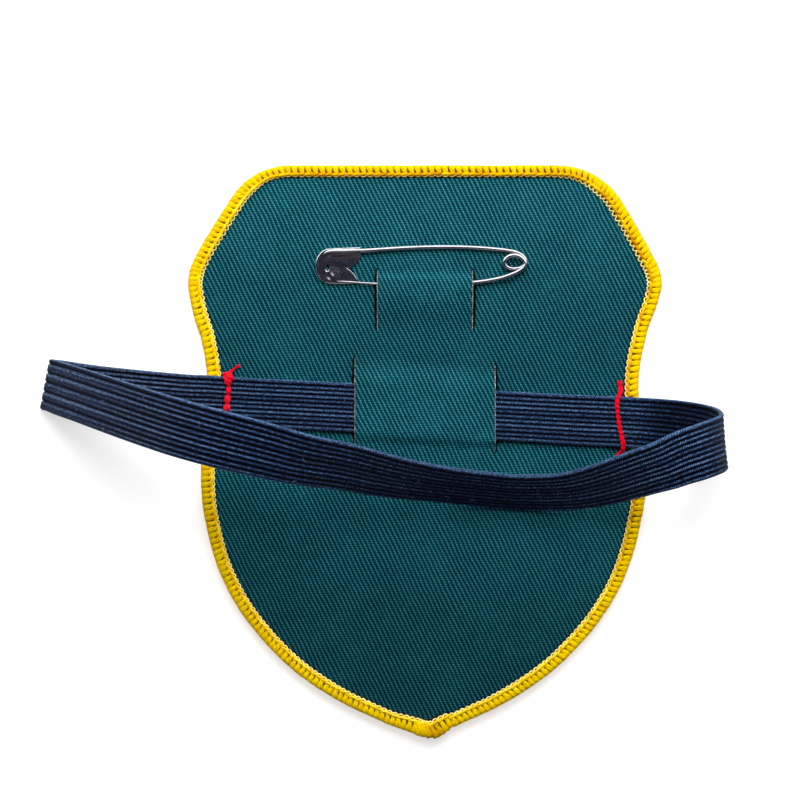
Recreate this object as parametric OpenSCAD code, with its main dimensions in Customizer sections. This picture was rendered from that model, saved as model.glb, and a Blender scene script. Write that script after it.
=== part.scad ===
// Shoulder patch with an elastic arm band and a safety pin on its back.
// It lies face down: Z = 0 is the plane of its front face, +Z points out of its back and +Y points to
// the straight top edge. The origin is the middle of the front face. All sizes are in millimetres.

/* [Cloth] */
// Width of the shield over its two shoulders
patch_w = 94.8; // [94:0.1:96]
// Height of the shield from the straight top edge to the tip
patch_h = 114.4; // [113:0.1:116]
// Thickness of the front cloth
face_t = 1.0; // [1:0.05:1.2]
// Thickness of the backing cloth
back_t = 1.0; // [1:0.05:1.2]

/* [Border] */
// Width of the overlocked border
border_w = 3.0; // [2.6:0.1:3.2]
// Thickness of the thread where it goes round the cut edge of the cloth
border_wrap = 0.6; // [0.4:0.05:0.8]
// Thickness of the thread that lies on the backing cloth
border_over = 0.6; // [0.5:0.05:0.7]
// Thickness of the thread that lies on the front, sunk into the cloth
border_under = 0.3; // [0.2:0.05:0.4]

/* [Slits and bridges] */
// Length of the two slits that the elastic passes through
band_slit_l = 17.2; // [16.8:0.1:18]
// Distance between those two slits
band_slit_gap = 28.0; // [26:0.5:30]
// Length of the two slits that the pin's needle passes through
pin_slit_l = 11.8; // [11.6:0.1:13]
// Distance between those two slits
pin_slit_gap = 19.0; // [16:0.5:20]
// Width of a slit at its ends
slit_w = 0.4; // [0.3:0.1:0.6]

/* [Elastic band] */
// Thickness of the elastic over its ribs
band_t = 1.1; // [0.9:0.05:1.1]
// Number of ribs side by side
rib_count = 11; // [9:1:12]
// Depth of the grooves between the ribs
rib_depth = 0.2; // [0.1:0.05:0.25]

/* [Thread tacks] */
// Thickness of the doubled tacking thread
thread_d = 0.9; // [0.7:0.05:1.0]

/* [Safety pin] */
// Diameter of the pin's wire
wire_d = 0.8; // [0.6:0.05:0.8]
// Thickness of the sheet that the clasp is folded from
sheet_t = 0.25; // [0.2:0.05:0.25]

/* [Hidden] */
// Air between two pieces that lie on each other
fit = 0.05;
// Air between the elastic and the cloth
lie = 0.1;

// Levels of the stack
back_z = face_t + fit;
top_z = back_z + back_t;
border_h = top_z + fit + border_over;
cloth_inset = border_wrap + fit;
band_on_cloth = top_z + lie + band_t / 2;
band_on_border = border_h + lie + band_t / 2;
band_on_floor = lie + band_t / 2;
// The elastic sinks a little into the gap between its two slits
band_sink = 0.45;
band_in_bridge = band_on_cloth - band_sink;

// Right half of the shield's outline, from the tip up to the top corner, on a shield of 94.8 by 114.4
outline_w = 94.8;
outline_h = 114.4;
half_outline = [
    // [across, up, corner radius]
    [0, -57.9, 6],       // tip
    [22.3, -48.2, 56],   // lower flank
    [40.4, -30.1, 46],   // flank
    [44.9, -7, 45],      // hip
    [42.6, 14.5, 28],    // waist
    [48, 35, 8],         // shoulder
    [35, 57, 14]         // top corner
];

// Bridges: the strips of backing cloth between two slits, raised over what passes under them
// [middle across, middle up, slope, slit gap, slit length, crest from, crest to, room under, mouth]
// crest from and crest to are counted up from the middle, room under from the backing cloth's
// underside, and mouth is how far the elastic pulls a slit open
band_bridge = [0.2, 8.9, -3.1, band_slit_gap, band_slit_l, -6.9, 4.6,
               band_in_bridge + band_t / 2 + lie - back_z, 1.3];
pin_z = top_z + fit + sheet_t + fit + wire_d / 2;
pin_bridge = [0.3, 29.8, 0, pin_slit_gap, pin_slit_l, 2.7, 4.2,
              pin_z + wire_d / 2 + lie - back_z, slit_w / 2];

// Where the sides of the shield cross the elastic, outside and inside the border
side_x = 44.4 * patch_w / outline_w;
side_in = side_x - border_w;
slit_x = band_slit_gap / 2;
// Middle line of the elastic, once round: to the right across the back of the patch, up and over at
// the right, back over the arm's side and down to the sharp fold at the left
band_line = [
    // [across, up, height, heading, lean, width], heading and lean in degrees
    [-74.9, 12.9, band_on_floor + 0.15, 11, 0, 10.4],
    [-73.2, 12.7, band_on_floor + 0.02, 10, 0, 10.4],
    [-68, 12.0, band_on_floor, 8, 0, 10.2],
    [-side_x - 13.2, 10.95, band_on_floor, 7, 0, 10.0],
    [-side_x - 9.6, 10.6, band_on_floor + 0.1, 6, 0, 10.0],
    [-side_x - 2.6, 10.05, band_on_border - 0.45, 5, 0, 9.9],
    [-side_x + 1.5, 9.9, band_on_border + 0.05, 4, 0, 9.8],
    [-side_in + 1.6, 9.72, band_on_border + 0.02, 3, 0, 9.7],
    [-side_in + 5, 9.55, band_on_cloth + 0.03, 3, 0, 9.7],
    [-side_in + 7.5, 9.4, band_on_cloth, 3, 0, 9.7],
    [-slit_x - 4.6, 8.6, band_on_cloth, 3, 0, 9.8],
    [-slit_x - 1.0, 8.4, band_on_cloth - 0.02, 3, 0, 9.8],
    [-slit_x + 0.45, 8.3, band_in_bridge, 3, 0, 9.8],
    [-slit_x + 3, 8.2, band_in_bridge, 3, 0, 9.8],
    [slit_x - 2.6, 6.95, band_in_bridge, 3, 0, 9.9],
    [slit_x - 0.05, 6.85, band_in_bridge, 3, 0, 9.9],
    [slit_x + 1.4, 6.75, band_on_cloth - 0.02, 3, 0, 9.9],
    [slit_x + 5, 6.55, band_on_cloth, 3, 0, 9.9],
    [side_in - 7.5, 5.75, band_on_cloth, 3, 0, 10.1],
    [side_in - 5, 5.65, band_on_cloth + 0.03, 3, 0, 10.1],
    [side_in - 1.6, 5.5, band_on_border + 0.02, 3, 0, 10.1],
    [side_x - 1.5, 5.3, band_on_border + 0.05, 5, 0, 10.2],
    [47.0, 4.95, band_on_border - 0.1, 8, 0, 10.4],
    [51.4, 4.4, 4.0, 10, 0, 10.6],
    [54.7, 3.7, 6.3, 9, 0, 10.7],
    [56.6, 2.9, 9.6, 4, 0, 10.7],
    [57.2, 2.2, 13.4, -3, 0, 10.6],
    [56.4, 1.6, 17.2, -9, 2, 10.6],
    [54.2, 1.0, 20.2, -14, 5, 10.6],
    [51.3, 0.2, 21.8, -18, 10, 10.6],
    [48.6, -0.6, 22.0, -21, 16, 10.6],
    [45.3, -2.1, 21.2, -22, 23, 10.6],
    [41.0, -3.8, 19.2, -21, 29, 10.6],
    [37.2, -5.3, 16.5, -18, 35, 10.6],
    [33.0, -6.9, 12.8, -12, 42, 10.6],
    [28.5, -7.8, 9.4, -6, 47, 10.6],
    [23.3, -8.1, 7.4, -1, 50, 10.6],
    [17.0, -8.1, 6.7, 3, 52, 10.6],
    [11.0, -7.8, 7.4, 7, 52, 10.6],
    [5.2, -7.1, 9.8, 10, 50, 10.6],
    [-0.4, -6.2, 13.0, 11, 44, 10.6],
    [-7.8, -4.5, 18.0, 12, 36, 10.6],
    [-15.3, -2.6, 23.0, 12, 29, 10.6],
    [-23.1, -1.0, 27.4, 13, 22, 10.6],
    [-30.5, 1.0, 30.2, 14, 13, 10.6],
    [-38.0, 2.9, 30.6, 15, 6, 10.6],
    [-45.5, 4.8, 27.6, 16, 1, 10.6],
    [-53.0, 6.8, 21.8, 16, 0, 10.6],
    [-60.5, 8.9, 15.2, 16, 0, 10.6],
    [-67.2, 10.8, 9.4, 15, 0, 10.5],
    [-72.0, 12.1, 5.0, 13, 0, 10.5],
    [-74.8, 12.85, band_on_floor + 1.5, 11, 0, 10.4],
    [-75.7, 13.0, band_on_floor + 0.75, 11, 0, 10.4]
];
// Longest step between two cross sections of the elastic
band_step = 6.5;
// Half thickness of the elastic at its two edges
band_edge = 0.25;

// Tacks: rows of stitches over the elastic, and the loose tail of the thread
// [across, up, height] of the middle of each knot, from the end at the top of the patch down
tack_on_band = band_on_border + band_t / 2 + lie + thread_d / 2;
tack_on_cloth = top_z + lie + thread_d / 2;
tack_left_line = [
    [-36.8, 16.7, tack_on_cloth], [-37.8, 16.3, tack_on_cloth], [-38.7, 15.5, tack_on_band - 0.5],
    [-39.2, 14.3, tack_on_band], [-39.3, 12.5, tack_on_band], [-39.5, 10.7, tack_on_band],
    [-39.4, 8.9, tack_on_band], [-39.3, 7.1, tack_on_band], [-39.2, 5.3, tack_on_band],
    [-39.2, 4.2, tack_on_band - 0.6]
];
tack_right_line = [
    [39.0, 13.7, tack_on_cloth], [39.3, 12.1, tack_on_cloth], [38.7, 10.6, tack_on_band - 0.2],
    [38.3, 8.8, tack_on_band], [38.5, 7.2, tack_on_band], [38.7, 5.6, tack_on_band],
    [39.0, 4.0, tack_on_band], [39.3, 2.4, tack_on_band], [39.5, 0.9, tack_on_band],
    [39.5, -0.1, tack_on_band - 0.7], [39.2, -0.8, tack_on_cloth + 0.1], [38.3, -1.1, tack_on_cloth]
];

// Safety pin: the wire's middle line from inside the clasp, along the upper arm, round the coil and
// back along the needle to its point
// [across, up, height above the needle's level, radius as a share of the wire's]
wire_line = [
    [-19, 39.75, 0.1, 1], [-15, 39.9, 0.1, 1], [-12.2, 40.01, 0.1, 1], [-8, 40.3, 0, 1],
    [-3.4, 40.55, -0.1, 1], [2.8, 40.7, -0.15, 1], [8.8, 40.55, -0.15, 1], [13.4, 40.15, -0.15, 1],
    [16.4, 39.8, -0.15, 1], [18.3, 39.45, -0.15, 1], [19.5, 38.85, -0.15, 1], [20.3, 37.8, -0.15, 1],
    [20.0, 36.9, -0.12, 1], [19.3, 36.35, -0.08, 1], [18.4, 36.15, -0.03, 1], [17.4, 36.15, 0.05, 1],
    [16.5, 36.5, 0.15, 1], [16.0, 37.4, 0.28, 1], [16.6, 38.35, 0.42, 1], [17.7, 38.75, 0.55, 1],
    [18.8, 38.6, 0.65, 1], [19.7, 38.0, 0.74, 1], [20.2, 37.1, 0.78, 1], [19.8, 36.3, 0.74, 1],
    [18.9, 35.6, 0.66, 1], [17.6, 35.05, 0.54, 1], [15.6, 34.4, 0.32, 1], [13.2, 33.9, 0.12, 1],
    [10, 33.5, 0.02, 1], [5, 33.3, 0, 0.97], [-2, 33.2, 0, 0.95], [-9, 33.3, 0, 0.9],
    [-12.5, 33.5, 0, 0.8], [-15, 33.6, 0, 0.62], [-17, 33.65, 0, 0.35], [-17.8, 33.7, 0, 0.12]
];
// Longest step between two rings of the wire, and the points in each ring
wire_step = 3;
wire_sides = 10;
// The bore of the bead that holds the upper arm, and the bead round it
bore_r = wire_d / 2 + fit;
bead_r = bore_r + sheet_t;

// Clasp: the folded sheet's outline, its notch and its slot
// [across, up, corner radius]
clasp_outline = [[-21.9, 32.85, 2.6], [-12.7, 32.85, 0], [-12.7, 40.2, 0], [-21.9, 40.0, 3.4]];
clasp_notch = [
    [-12.0, 38.0, 0], [-13.2, 38.0, 0], [-13.6, 37.0, 0.8], [-15.9, 36.2, 0],
    [-13.7, 35.2, 2.4], [-13.3, 33.2, 0], [-12.0, 32.0, 0]
];
clasp_slot = [[-19.0, 35.5, 0], [-19.5, 37.1, 0], [-20.0, 37.0, 0], [-19.5, 35.4, 0]];
// Where the bead round the upper arm starts, its length and its tilt
bead_start = [-19.4, 39.75];
bead_l = 6.7;
bead_tilt = 2.2;
bead_z = pin_z + 0.1;
clasp_low = top_z + fit;
clasp_high = bead_z + bead_r;

// Colours of the sub-parts
cloth_colour = "#0f5860";
border_colour = "#f2cf10";
band_colour = "#1a2233";
thread_colour = "#e01432";
metal_colour = "#c9ccd1";

function unit(v) = v / norm(v);

// Smooths a closed outline: a list of [across, up, corner radius], counter-clockwise, becomes a list
// of [place, outward direction], with each corner an arc that is split into steps, or one place
// where its radius is 0
function rounded(corners, step) = [
    for (i = [0:len(corners) - 1])
        let (
            count = len(corners),
            here = [corners[i].x, corners[i].y],
            last = corners[(i + count - 1) % count],
            next = corners[(i + 1) % count],
            radius = corners[i].z,
            inward = unit(here - [last.x, last.y]),
            onward = unit([next.x, next.y] - here),
            turn = atan2(cross(inward, onward), inward * onward),
            side = sign(turn),
            centre = here - inward * radius * tan(abs(turn) / 2) + side * radius * [-inward.y, inward.x],
            first = atan2(-side * inward.x, side * inward.y),
            pieces = ceil(radius * abs(turn) * PI / 180 / step),
            corner = [inward.y + onward.y, -inward.x - onward.x] / (1 + inward * onward)
        )
        for (k = [0:pieces])
            let (a = first + turn * k / max(1, pieces))
            [centre + radius * [cos(a), sin(a)], pieces == 0 ? corner : side * [cos(a), sin(a)]]
];
function inset(outline, depth) = [for (s = outline) s[0] - depth * s[1]];
function places(outline) = inset(outline, 0);

// Smooth curve through the rows of a table: a cubic between each two rows, whose slope at a row is
// the mean of the slopes of the two chords that meet there
function chord(table, i) = let (a = table[i], b = table[(i + 1) % len(table)])
    norm([b[0] - a[0], b[1] - a[1], b[2] - a[2]]);
function slope(table, i, closed) = let (
        n = len(table),
        before = closed ? (i + n - 1) % n : max(i - 1, 0),
        after = closed ? (i + 1) % n : min(i + 1, n - 1),
        at_end = before == i || after == i
    )
    at_end ? (table[after] - table[before]) / chord(table, before)
    : ((table[after] - table[i]) / chord(table, i) + (table[i] - table[before]) / chord(table, before)) / 2;
function between(table, i, t, closed) = let (
        j = (i + 1) % len(table),
        d = chord(table, i)
    )
    table[i] * (2 * pow(t, 3) - 3 * pow(t, 2) + 1)
    + slope(table, i, closed) * d * (pow(t, 3) - 2 * pow(t, 2) + t)
    + table[j] * (3 * pow(t, 2) - 2 * pow(t, 3))
    + slope(table, j, closed) * d * (pow(t, 3) - pow(t, 2));
function smooth(table, step, closed) = concat(
    [for (i = [0:len(table) - (closed ? 1 : 2)])
        let (pieces = max(1, ceil(chord(table, i) / step)))
        for (k = [0:pieces - 1]) between(table, i, k / pieces, closed)],
    closed ? [] : [table[len(table) - 1]]
);
function place(row) = [row[0], row[1], row[2]];

// Skin over a row of rings that all have the same number of points, closed into itself or capped
function ring_faces(rings, closed) = let (n = len(rings), m = len(rings[0])) concat(
    [for (i = [0:n - (closed ? 1 : 2)], j = [0:m - 1])
        let (a = i * m, b = (i + 1) % n * m, k = (j + 1) % m)
        each [[a + j, a + k, b + k], [a + j, b + k, b + j]]],
    closed ? [] : [[for (j = [m - 1:-1:0]) j], [for (j = [0:m - 1]) (n - 1) * m + j]]
);
module skin(rings, closed)
    polyhedron([for (ring = rings) each ring], ring_faces(rings, closed), convexity = 8);

// Flat plate of an outline between two levels
module plate(points, low, high)
    translate([0, 0, low]) linear_extrude(high - low) polygon(points);

shield = rounded(
    [for (c = concat(half_outline, [for (i = [len(half_outline) - 1:-1:1])
            [-half_outline[i].x, half_outline[i].y, half_outline[i].z]]))
        [c.x * patch_w / outline_w, c.y * patch_h / outline_h, c.z]], 3.2);

// Where a bridge's middle line is at a place across the patch
function bridge_up(b, x) = b[1] + (x - b[0]) * tan(b[2]);

// The opening in the backing cloth that a bridge spans, as wide as both slits and what lies between
module bridge_window(b) {
    half = b[4] / 2;
    left = b[0] - b[3] / 2 - slit_w / 2;
    right = b[0] + b[3] / 2 + slit_w / 2;
    pull = b[8] - slit_w / 2;
    bow = 2.5;
    outline = [
        [left, bridge_up(b, left) - half, 0],
        [right, bridge_up(b, right) - half, 0],
        [right + pull, bridge_up(b, right) - half + bow, 1.5],
        [right + pull, bridge_up(b, right) + half - bow, 1.5],
        [right, bridge_up(b, right) + half, 0],
        [left, bridge_up(b, left) + half, 0],
        [left - pull, bridge_up(b, left) + half - bow, 1.5],
        [left - pull, bridge_up(b, left) - half + bow, 1.5]
    ];
    plain = [outline[0], outline[1], outline[4], outline[5]];
    plate(places(rounded(pull > 0 ? outline : plain, 1)), face_t, top_z + 1);
}

// The raised strip of cloth between two slits: its section runs up the patch, and it is straight
// from one slit to the other
module bridge_strip(b) {
    half = b[4] / 2 * cos(b[2]);
    overlap = 0.6;
    under = back_z + b[7];
    over = under + back_t;
    section = [
        [-half - overlap, back_z, 0], [-half, back_z, 0.3], [b[5], under, 0.5], [b[6], under, 0.5],
        [half, back_z, 0.3], [half + overlap, back_z, 0], [half + overlap, top_z, 0],
        [half + 0.3, top_z, 0.4], [b[6] + 0.2, over, 0.8], [b[5] - 0.2, over, 0.8],
        [-half - 0.3, top_z, 0.4], [-half - overlap, top_z, 0]
    ];
    reach = b[3] + 4;
    intersection() {
        translate([b[0], b[1], 0]) rotate([0, 0, b[2]]) translate([-reach / 2, 0, 0])
            rotate([90, 0, 90]) linear_extrude(reach) polygon(places(rounded(section, 0.5)));
        translate([b[0] - b[3] / 2 + slit_w / 2, b[1] - b[4], 0])
            cube([b[3] - slit_w, 2 * b[4], 10]);
    }
}

module face_panel() {
    color(cloth_colour) {
        plate(inset(shield, border_w + fit), 0, face_t / 2);
        plate(inset(shield, cloth_inset), border_under + fit, face_t);
    }
}

module back_panel() {
    color(cloth_colour) {
        difference() {
            plate(inset(shield, cloth_inset), back_z, top_z);
            bridge_window(band_bridge);
            bridge_window(pin_bridge);
        }
        bridge_strip(band_bridge);
        bridge_strip(pin_bridge);
    }
}

// The border: a C-shaped section carried round the outline, open to the inside for the two cloths
module merrow_border() {
    slot_low = border_under;
    slot_high = top_z + fit;
    section = rounded([
        // [inward from the edge, up, corner radius]
        [0, 0, 0.9], [border_w, 0, 0], [border_w, slot_low, 0], [border_wrap, slot_low, 0],
        [border_wrap, slot_high, 0], [border_w, slot_high, 0], [border_w, border_h, 0.5],
        [0, border_h, 1.2]
    ], 0.7);
    rings = [for (s = shield) [for (p = places(section))
        [s[0].x - p.x * s[1].x, s[0].y - p.x * s[1].y, p.y]]];
    color(border_colour) skin(rings, true);
}

// The elastic: a ribbed section carried round its closed middle line
module elastic_band() {
    rows = smooth(band_line, band_step, true);
    count = len(rows);
    steps = 2 * rib_count;
    low = band_t / 2 - rib_depth;
    side = [for (j = [0:steps]) [j / steps - 0.5,
        j == 0 || j == steps ? band_edge : j % 2 == 1 ? band_t / 2 : low]];
    section = concat(side, [for (j = [steps:-1:0]) [side[j].x, -side[j].y]]);
    rings = [for (i = [0:count - 1])
        let (
            row = rows[i],
            along = unit(place(rows[(i + 1) % count]) - place(rows[(i + count - 1) % count])),
            heading = [sin(row[3]), cos(row[3]), 0],
            flat = unit(heading - (heading * along) * along),
            out = cross(flat, along),
            across = flat * cos(row[4]) + out * sin(row[4]),
            face = cross(across, along)
        )
        [for (p = section) place(row) + across * p.x * row[5] + face * p.y]
    ];
    color(band_colour) skin(rings, true);
}

// Round thread or wire along a line of rows that start with a place: one ring of points at each row,
// square to the line, with its own radius
module strand(rows, radii, sides) {
    count = len(rows);
    rings = [for (i = [0:count - 1])
        let (
            along = unit(place(rows[min(i + 1, count - 1)]) - place(rows[max(i - 1, 0)])),
            side = unit(cross(along, [0, 0, 1])),
            up = cross(side, along)
        )
        [for (k = [0:sides - 1])
            let (a = 360 * k / sides)
            place(rows[i]) + (side * cos(a) + up * sin(a)) * radii[i]]
    ];
    skin(rings, false);
}

// A row of stitches: the thread swells at each place of its line and is slim between two places
module stitches(line) {
    slim = 0.75;
    count = len(line);
    rows = [for (i = [0:2 * count - 2]) (line[floor(i / 2)] + line[ceil(i / 2)]) / 2];
    strand(rows, [for (i = [0:2 * count - 2]) thread_d / 2 * (i % 2 == 0 ? 1 : slim)], 8);
}

module tack_left() { color(thread_colour) stitches(tack_left_line); }

module tack_right() { color(thread_colour) stitches(tack_right_line); }

// The pin's wire, which the clasp's bead holds at one end and whose other end is the point
module pin_wire() {
    rows = smooth(wire_line, wire_step, false);
    color(metal_colour) translate([0, 0, pin_z])
        strand(rows, [for (row = rows) row[3] * wire_d / 2], wire_sides);
}

// Round form along the clasp's upper edge, for the bead and for the bore in it
module clasp_bead(radius, length)
    translate(concat(bead_start, bead_z)) rotate([0, 90, bead_tilt])
        cylinder(h = length, r = radius, $fn = 48);

// The clasp: sheet folded round the upper arm's end in a bead, with a front and a back wall that
// hold the needle's point in the fold between them
module pin_clasp() {
    mouth = 2;
    wall = inset(rounded(clasp_outline, 0.8), sheet_t);
    hollow = [for (p = wall) p.x > clasp_outline[1].x - 1 ? [p.x + mouth, p.y] : p];
    color(metal_colour) difference() {
        union() {
            difference() {
                plate(places(rounded(clasp_outline, 0.8)), clasp_low, clasp_high);
                plate(hollow, clasp_low + sheet_t, clasp_high - sheet_t);
            }
            clasp_bead(bead_r, bead_l);
        }
        clasp_bead(bore_r, bead_l + mouth);
        plate(places(rounded(clasp_notch, 0.5)), 0, 10);
        plate(places(rounded(clasp_slot, 0.3)), 0, 10);
    }
}

face_panel();
back_panel();
merrow_border();
elastic_band();
tack_left();
tack_right();
pin_wire();
pin_clasp();
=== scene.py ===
"""Looks of a shield-shaped shoulder patch that lies face down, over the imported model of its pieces."""

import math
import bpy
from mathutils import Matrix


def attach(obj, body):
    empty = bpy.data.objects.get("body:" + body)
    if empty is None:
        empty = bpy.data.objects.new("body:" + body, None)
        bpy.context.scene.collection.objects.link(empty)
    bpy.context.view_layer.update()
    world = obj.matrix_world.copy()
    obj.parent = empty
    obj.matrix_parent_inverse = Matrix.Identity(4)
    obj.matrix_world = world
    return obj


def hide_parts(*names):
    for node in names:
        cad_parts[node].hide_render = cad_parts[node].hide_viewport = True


bl_info = {
    "name": "Shoulder Patch",
    "version": (1, 0, 0),
    "blender": (4, 5, 0),
    "location": "View3D > Sidebar > Patch",
    "description": "Twill, overlocked border, ribbed elastic, tacks and safety pin of a shoulder patch",
    "category": "Add Mesh",
}

from collections import namedtuple

import bpy
import numpy as np
from bpy.props import FloatProperty, FloatVectorProperty, IntProperty, PointerProperty
from bpy.types import Operator, Panel, PropertyGroup
from mathutils import Vector

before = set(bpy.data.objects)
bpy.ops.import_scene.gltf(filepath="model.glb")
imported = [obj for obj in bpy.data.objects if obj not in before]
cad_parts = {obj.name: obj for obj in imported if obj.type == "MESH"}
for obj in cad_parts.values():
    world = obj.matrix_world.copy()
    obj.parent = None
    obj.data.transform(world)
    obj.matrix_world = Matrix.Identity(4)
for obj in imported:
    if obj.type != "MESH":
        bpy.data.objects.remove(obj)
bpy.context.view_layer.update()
BODY = "root"
MM = 0.001

# Stage, in metres: the floor's level, the place that the lights point at and the place under the camera
FLOOR_Z = -0.3 * MM
LIT_PLACE, CAMERA_OVER = (-0.005, 0.01, 0), (-0.0048, 0.0099)

# Levels in millimetres: the tops of the front cloth and of the backing cloth, and the middle of the elastic
# where it lies on the floor, on the cloth, on the border and under its bridge
FRONT_TOP = 1.0
BACK_TOP = 2.05
ON_FLOOR, ON_CLOTH, ON_BORDER, IN_BRIDGE = 0.65, 2.70, 3.35, 2.25
NEEDLE_Z = 2.80

# Right half of the shield's outline, from the tip up: across, up, corner radius, in millimetres
HALF_OUTLINE = np.array([
    [0, -57.9, 6], [22.3, -48.2, 56], [40.4, -30.1, 46], [44.9, -7, 45],
    [42.6, 14.5, 28], [48, 35, 8], [35, 57, 14],
], float)

# The strips of backing cloth between two slits: middle across and up, slope in degrees, half gap, half slit
BAND_STRIP = (0.2, 8.9, -3.1, 14.0, 8.9)
PIN_STRIP = (0.2, 29.8, 0.0, 9.5, 6.3)

# Middle line of the elastic, once round: across, up, height, heading, lean, width
SIDE_X, SIDE_IN, SLIT_X = 44.4, 41.4, 14.0
BAND_LINE = [
    (-74.9, 12.9, ON_FLOOR + 0.15, 11, 0, 10.4), (-73.2, 12.7, ON_FLOOR + 0.02, 10, 0, 10.4),
    (-68, 12.0, ON_FLOOR, 8, 0, 10.2), (-SIDE_X - 13.2, 10.95, ON_FLOOR, 7, 0, 10.0),
    (-SIDE_X - 9.6, 10.6, ON_FLOOR + 0.1, 6, 0, 10.0), (-SIDE_X - 2.6, 10.05, ON_BORDER - 0.45, 5, 0, 9.9),
    (-SIDE_X + 1.5, 9.9, ON_BORDER + 0.05, 4, 0, 9.8), (-SIDE_IN + 1.6, 9.72, ON_BORDER + 0.02, 3, 0, 9.7),
    (-SIDE_IN + 5, 9.55, ON_CLOTH + 0.03, 3, 0, 9.7), (-SIDE_IN + 7.5, 9.4, ON_CLOTH, 3, 0, 9.7),
    (-SLIT_X - 4.6, 8.6, ON_CLOTH, 3, 0, 9.8), (-SLIT_X - 1.0, 8.4, ON_CLOTH - 0.02, 3, 0, 9.8),
    (-SLIT_X + 0.45, 8.3, IN_BRIDGE, 3, 0, 9.8), (-SLIT_X + 3, 8.2, IN_BRIDGE, 3, 0, 9.8),
    (SLIT_X - 2.6, 6.95, IN_BRIDGE, 3, 0, 9.9), (SLIT_X - 0.05, 6.85, IN_BRIDGE, 3, 0, 9.9),
    (SLIT_X + 1.4, 6.75, ON_CLOTH - 0.02, 3, 0, 9.9), (SLIT_X + 5, 6.55, ON_CLOTH, 3, 0, 9.9),
    (SIDE_IN - 7.5, 5.75, ON_CLOTH, 3, 0, 10.1), (SIDE_IN - 5, 5.65, ON_CLOTH + 0.03, 3, 0, 10.1),
    (SIDE_IN - 1.6, 5.5, ON_BORDER + 0.02, 3, 0, 10.1), (SIDE_X - 1.5, 5.3, ON_BORDER + 0.05, 5, 0, 10.2),
    (47.0, 4.95, ON_BORDER - 0.1, 8, 0, 10.4), (51.4, 4.4, 4.0, 10, 0, 10.6), (54.7, 3.7, 6.3, 9, 0, 10.7),
    (56.6, 2.9, 9.6, 4, 0, 10.7), (57.2, 2.2, 13.4, -3, 0, 10.6), (56.4, 1.6, 17.2, -9, 2, 10.6),
    (54.2, 1.0, 20.2, -14, 5, 10.6), (51.3, 0.1, 21.8, -18, 10, 10.7), (48.5, -0.8, 22.0, -21, 16, 10.9),
    (45.2, -2.25, 21.2, -22, 23, 11.0), (41.0, -3.8, 19.2, -21, 29, 11.2), (37.2, -5.3, 16.5, -18, 35, 11.4),
    (33.0, -6.85, 12.8, -12, 42, 11.5), (28.5, -7.95, 9.4, -6, 47, 11.5), (23.3, -8.3, 7.4, -1, 50, 11.6),
    (17.0, -8.2, 6.9, 3, 52, 11.6), (11.0, -7.6, 7.6, 7, 52, 11.8), (5.2, -6.85, 9.8, 10, 50, 11.6),
    (-0.4, -6.0, 13.0, 11, 44, 11.0), (-7.8, -4.5, 18.0, 12, 36, 10.6), (-15.3, -2.6, 23.0, 12, 29, 10.6),
    (-23.1, -1.0, 27.4, 13, 22, 10.6), (-30.5, 1.0, 30.2, 14, 13, 10.6), (-38.0, 2.9, 30.6, 15, 6, 10.6),
    (-45.5, 4.8, 27.6, 16, 1, 10.6), (-53.0, 6.8, 21.8, 16, 0, 10.6), (-60.5, 8.9, 15.2, 16, 0, 10.6),
    (-67.2, 10.8, 9.4, 15, 0, 10.5), (-72.0, 12.1, 5.0, 13, 0, 10.5),
    (-74.8, 12.85, ON_FLOOR + 1.5, 11, 0, 10.4), (-75.7, 13.0, ON_FLOOR + 0.75, 11, 0, 10.4),
]

# The pin's wire: across, up, height over the needle's level, radius as a share of the wire's
WIRE_LINE = [
    (-19, 39.6, 0.1, 1), (-15, 39.7, 0.1, 1), (-12.2, 39.76, 0.1, 1), (-8, 40.02, 0, 1),
    (-3.4, 40.3, -0.1, 1), (2.8, 40.49, -0.15, 1), (8.8, 40.42, -0.15, 1), (13.4, 40.12, -0.15, 1),
    (16.4, 39.8, -0.15, 1), (18.3, 39.45, -0.15, 1), (19.5, 38.85, -0.15, 1), (20.3, 37.8, -0.15, 1),
    (20.0, 36.9, -0.12, 1), (19.3, 36.35, -0.08, 1), (18.4, 36.15, -0.03, 1), (17.4, 36.15, 0.05, 1),
    (16.5, 36.5, 0.15, 1), (16.0, 37.4, 0.28, 1), (16.6, 38.35, 0.42, 1), (17.7, 38.75, 0.55, 1),
    (18.8, 38.6, 0.65, 1), (19.7, 38.0, 0.74, 1), (20.2, 37.1, 0.78, 1), (19.8, 36.3, 0.74, 1),
    (18.9, 35.6, 0.66, 1), (17.6, 35.0, 0.54, 1), (15.6, 34.32, 0.32, 1), (13.2, 33.82, 0.12, 1),
    (10, 33.4, 0.02, 1), (5, 33.2, 0, 0.95), (-2, 33.08, 0, 0.85), (-9, 33.12, 0, 0.62),
    (-12.5, 33.3, 0, 0.52), (-15, 33.5, 0, 0.42), (-17, 33.6, 0, 0.28), (-17.8, 33.65, 0, 0.12),
]

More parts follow.
